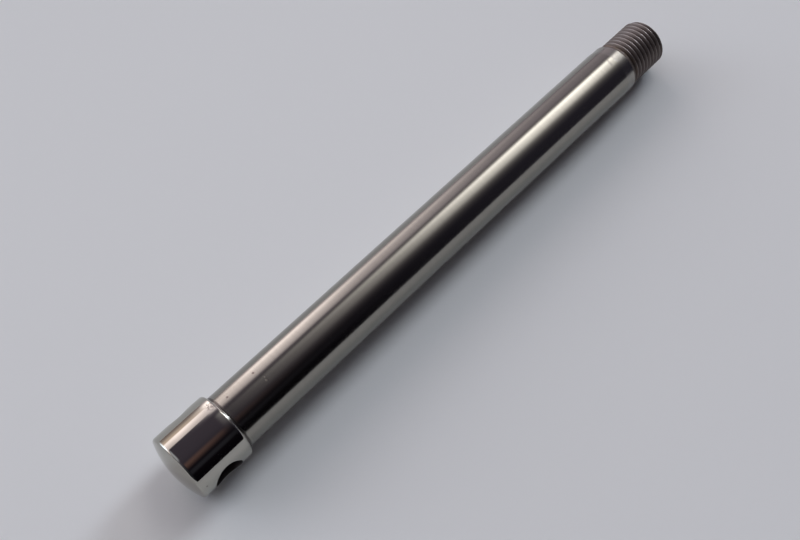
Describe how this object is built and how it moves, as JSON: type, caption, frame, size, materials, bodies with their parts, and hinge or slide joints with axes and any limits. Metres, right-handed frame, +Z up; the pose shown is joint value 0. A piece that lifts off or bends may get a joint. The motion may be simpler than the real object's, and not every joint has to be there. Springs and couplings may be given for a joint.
{
  "type": "wheel spindle",
  "caption": "Round-headed stepped steel spindle: cross-drilled domed head, long ground shank for wheel bearings, short relieved land and threaded end.",
  "frame": {"origin": "on the surface that the shaft lies on, under the middle of its length and width", "axes": "+X along the shaft from the head to the thread (the axis slopes down 0.55 degrees that way as it rests), +Z up, +Y across"},
  "size_m": [0.1805, 0.018, 0.0181],
  "materials": {
    "steel": "fine ground and polished"
  },
  "bodies": {
    "root": {"wheel_spindle": "steel"}
  },
  "joints": []
}
